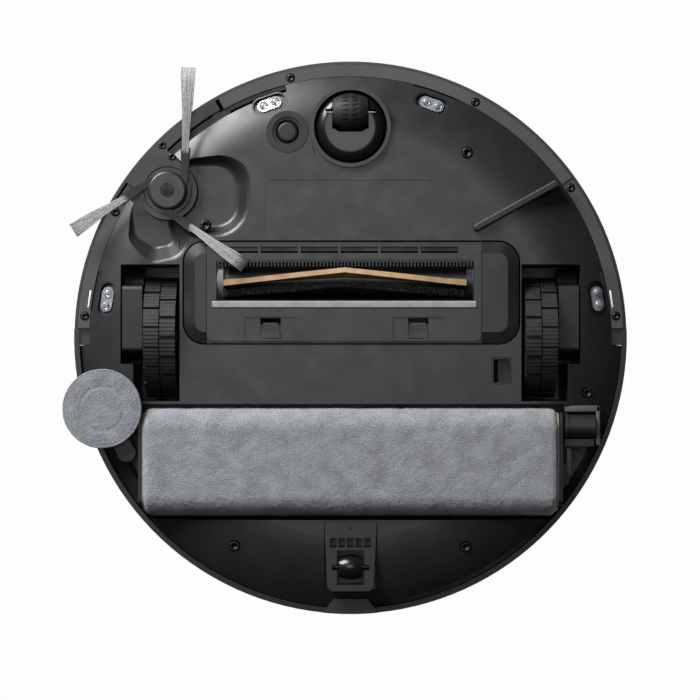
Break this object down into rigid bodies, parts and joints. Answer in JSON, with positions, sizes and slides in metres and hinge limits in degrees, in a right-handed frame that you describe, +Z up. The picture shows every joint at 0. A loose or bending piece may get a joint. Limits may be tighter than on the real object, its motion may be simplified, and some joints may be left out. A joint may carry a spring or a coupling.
{
  "type": "robot vacuum",
  "caption": "Round robot vacuum and mop with sprung bumper, drive wheels, caster, main brush, swing-out side brush, belt mop, swing-out edge pad, lidar turret and dustbin",
  "frame": {"origin": "on the floor, under the centre of the round body", "axes": "+Z up; the bumper faces -Y, so the machine's own right-hand side is -X"},
  "size_m": [0.3555, 0.35, 0.101],
  "materials": {
    "black_shell": "charcoal moulded ABS with a fine satin grain",
    "grey_ring": "mid-grey moulded ABS, satin",
    "top_gloss": "dark grey moulded ABS, semi-gloss",
    "brush_frame": "dark grey moulded ABS, satin",
    "dark_plastic": "near-black moulded ABS",
    "bracket_grey": "mid-grey moulded nylon",
    "steel": "turned steel",
    "screw_black": "black-passivated steel",
    "lens_clear": "clear moulded polycarbonate",
    "ir_window": "infrared-pass polycarbonate, polished",
    "tyre_rubber": "moulded rubber, matt",
    "blade_rubber": "tan moulded polyurethane rubber",
    "scraper_rubber": "grey moulded rubber",
    "bristle_dark": "nylon bristles, black",
    "bristle_grey": "nylon bristles, grey",
    "mop_fabric": "grey polyester microfibre, looped pile",
    "pad_fabric": "grey polyester microfibre, short pile",
    "contact_metal": "nickel-gold plated contact",
    "battery_wrap": "PVC shrink wrap",
    "board_green": "solder-masked circuit board",
    "bin_clear": "smoke-grey translucent polycarbonate",
    "filter_paper": "pleated filter paper"
  },
  "bodies": {
    "chassis": {"bottom_cover": "black_shell", "front_ring": "grey_ring", "top_cover": "top_gloss", "rear_tab": "black_shell", "underside_screws": "screw_black", "carpet_sensor": "dark_plastic", "cliff_housings": "dark_plastic", "cliff_lenses": "lens_clear", "floor_sensor": "dark_plastic", "deflector_fin": "black_shell", "rear_plate": "black_shell", "charging_contacts": "contact_metal", "bumper_springs": "steel", "battery_pack": "battery_wrap", "main_board": "board_green", "fan_housing": "dark_plastic", "bin_bay": "dark_plastic", "lidar_turret": "top_gloss"},
    "bumper": {"bumper_shell": "top_gloss", "bumper_window": "ir_window"},
    "rear_wheel": {"rear_roller": "dark_plastic"},
    "caster_fork": {"caster_housing": "dark_plastic", "caster_axle": "steel"},
    "caster_roll": {"caster_wheel": "tyre_rubber"},
    "right_suspension": {"right_wheel_housing": "dark_plastic"},
    "right_wheel": {"right_wheel_hub": "dark_plastic", "right_tyre": "tyre_rubber"},
    "left_suspension": {"left_wheel_housing": "dark_plastic"},
    "left_wheel": {"left_wheel_hub": "dark_plastic", "left_tyre": "tyre_rubber"},
    "brush_arm": {"side_brush_arm": "black_shell"},
    "side_brush": {"side_brush_hub": "brush_frame", "side_brush_screw": "screw_black", "side_brush_rubbers": "tyre_rubber", "side_brush_bristles": "bristle_grey"},
    "deck": {"brush_deck": "brush_frame", "brush_motor": "dark_plastic"},
    "main_brush": {"brush_core": "dark_plastic", "brush_blades": "blade_rubber", "brush_bristles": "bristle_dark"},
    "guard": {"brush_guard": "brush_frame", "comb_strip": "dark_plastic", "scraper_strip": "scraper_rubber"},
    "right_catch": {"right_latch": "brush_frame"},
    "left_catch": {"left_latch": "brush_frame"},
    "mop_carriage": {"mop_frame": "dark_plastic", "mop_belt": "mop_fabric", "mop_motor": "dark_plastic"},
    "mop_drive": {"drive_roller": "bracket_grey"},
    "mop_idler": {"idler_roller": "bracket_grey"},
    "pad_swing": {"edge_pad_arm": "dark_plastic"},
    "pad_disc": {"edge_pad_holder": "dark_plastic", "edge_pad": "pad_fabric"},
    "fan": {"fan_impeller": "bracket_grey"},
    "top_lid": {"lid": "top_gloss"},
    "bin": {"dustbin": "bin_clear", "bin_filter": "filter_paper"},
    "power_key": {"power_button": "top_gloss"},
    "home_key": {"home_button": "top_gloss"},
    "lidar": {"lidar_rotor": "dark_plastic"}
  },
  "joints": [
    {"name": "bumper_press", "type": "slide", "parent": "chassis", "child": "bumper", "axis": [0, 1, 0], "range_m": [0, 0.002], "stiffness_N_per_m": 900, "deforming": ["bumper_springs"]},
    {"name": "rear_roller_spin", "type": "hinge", "parent": "chassis", "child": "rear_wheel", "pos_m": [0, 0.1446, 0.0136], "axis": [1, 0, 0], "continuous": true},
    {"name": "caster_swivel", "type": "hinge", "parent": "chassis", "child": "caster_fork", "pos_m": [0, -0.1323, 0], "axis": [0, 0, 1], "continuous": true},
    {"name": "caster_wheel_spin", "type": "hinge", "parent": "caster_fork", "child": "caster_roll", "pos_m": [0, -0.1419, 0.012], "axis": [1, 0, 0], "continuous": true},
    {"name": "right_wheel_drop", "type": "hinge", "parent": "chassis", "child": "right_suspension", "pos_m": [-0.1198, -0.033, 0.036], "axis": [1, 0, 0], "range_deg": [-28, 0]},
    {"name": "right_wheel_spin", "type": "hinge", "parent": "right_suspension", "child": "right_wheel", "pos_m": [-0.1198, 0, 0.0385], "axis": [1, 0, 0], "continuous": true},
    {"name": "left_wheel_drop", "type": "hinge", "parent": "chassis", "child": "left_suspension", "pos_m": [0.1198, -0.033, 0.036], "axis": [1, 0, 0], "range_deg": [-28, 0]},
    {"name": "left_wheel_spin", "type": "hinge", "parent": "left_suspension", "child": "left_wheel", "pos_m": [0.1198, 0, 0.0385], "axis": [1, 0, 0], "continuous": true},
    {"name": "side_brush_swing", "type": "hinge", "parent": "chassis", "child": "brush_arm", "pos_m": [-0.08627, -0.14358, 0.0214], "axis": [0, 0, 1], "range_deg": [0, 20]},
    {"name": "side_brush_spin", "type": "hinge", "parent": "brush_arm", "child": "side_brush", "pos_m": [-0.1148, -0.0922, 0.012], "axis": [0, 0, 1], "continuous": true, "deforming": ["side_brush_bristles"]},
    {"name": "brush_deck_float", "type": "slide", "parent": "chassis", "child": "deck", "axis": [0, 0, 1], "range_m": [0, 0.004]},
    {"name": "main_brush_spin", "type": "hinge", "parent": "deck", "child": "main_brush", "pos_m": [0, -0.03615, 0.0215], "axis": [1, 0, 0], "continuous": true, "deforming": ["comb_strip"]},
    {"name": "brush_guard_release", "type": "slide", "parent": "deck", "child": "guard", "axis": [0, 0, -1], "range_m": [0, 0.025]},
    {"name": "right_latch_slide", "type": "slide", "parent": "guard", "child": "right_catch", "axis": [0, -1, 0], "range_m": [0, 0.003], "stiffness_N_per_m": 300},
    {"name": "left_latch_slide", "type": "slide", "parent": "guard", "child": "left_catch", "axis": [0, -1, 0], "range_m": [0, 0.003], "stiffness_N_per_m": 300},
    {"name": "mop_lift", "type": "slide", "parent": "chassis", "child": "mop_carriage", "axis": [0, 0, 1], "range_m": [0, 0.009]},
    {"name": "mop_drive_spin", "type": "hinge", "parent": "mop_carriage", "child": "mop_drive", "pos_m": [0, 0.0578, 0.0143], "axis": [1, 0, 0], "continuous": true},
    {"name": "mop_idler_spin", "type": "hinge", "parent": "mop_carriage", "child": "mop_idler", "pos_m": [0, 0.0986, 0.0143], "axis": [1, 0, 0], "continuous": true},
    {"name": "edge_pad_swing", "type": "hinge", "parent": "chassis", "child": "pad_swing", "pos_m": [-0.141, 0.072, 0.016], "axis": [0, 0, 1], "range_deg": [-30, 0]},
    {"name": "edge_pad_spin", "type": "hinge", "parent": "pad_swing", "child": "pad_disc", "pos_m": [-0.1554, 0.0446, 0.008], "axis": [0, 0, 1], "continuous": true},
    {"name": "fan_spin", "type": "hinge", "parent": "chassis", "child": "fan", "pos_m": [0.104, -0.092, 0.035], "axis": [0, 0, 1], "continuous": true},
    {"name": "lid_open", "type": "hinge", "parent": "chassis", "child": "top_lid", "pos_m": [0, -0.006, 0.08275], "axis": [-1, 0, 0], "range_deg": [0, 80]},
    {"name": "dustbin_lift", "type": "slide", "parent": "chassis", "child": "bin", "axis": [0, 0, 1], "range_m": [0, 0.04]},
    {"name": "power_button_press", "type": "slide", "parent": "chassis", "child": "power_key", "axis": [0, 0, -1], "range_m": [0, 0.0012], "stiffness_N_per_m": 500},
    {"name": "home_button_press", "type": "slide", "parent": "chassis", "child": "home_key", "axis": [0, 0, -1], "range_m": [0, 0.0012], "stiffness_N_per_m": 500},
    {"name": "lidar_spin", "type": "hinge", "parent": "chassis", "child": "lidar", "pos_m": [0, 0.072, 0.088], "axis": [0, 0, 1], "continuous": true}
  ],
  "couplings": [
    {"joint": "mop_idler_spin", "follows": "mop_drive_spin", "ratio": 1},
    {"joint": "dustbin_lift", "follows": "lid_open", "m_per_rad": 0.028576}
  ]
}
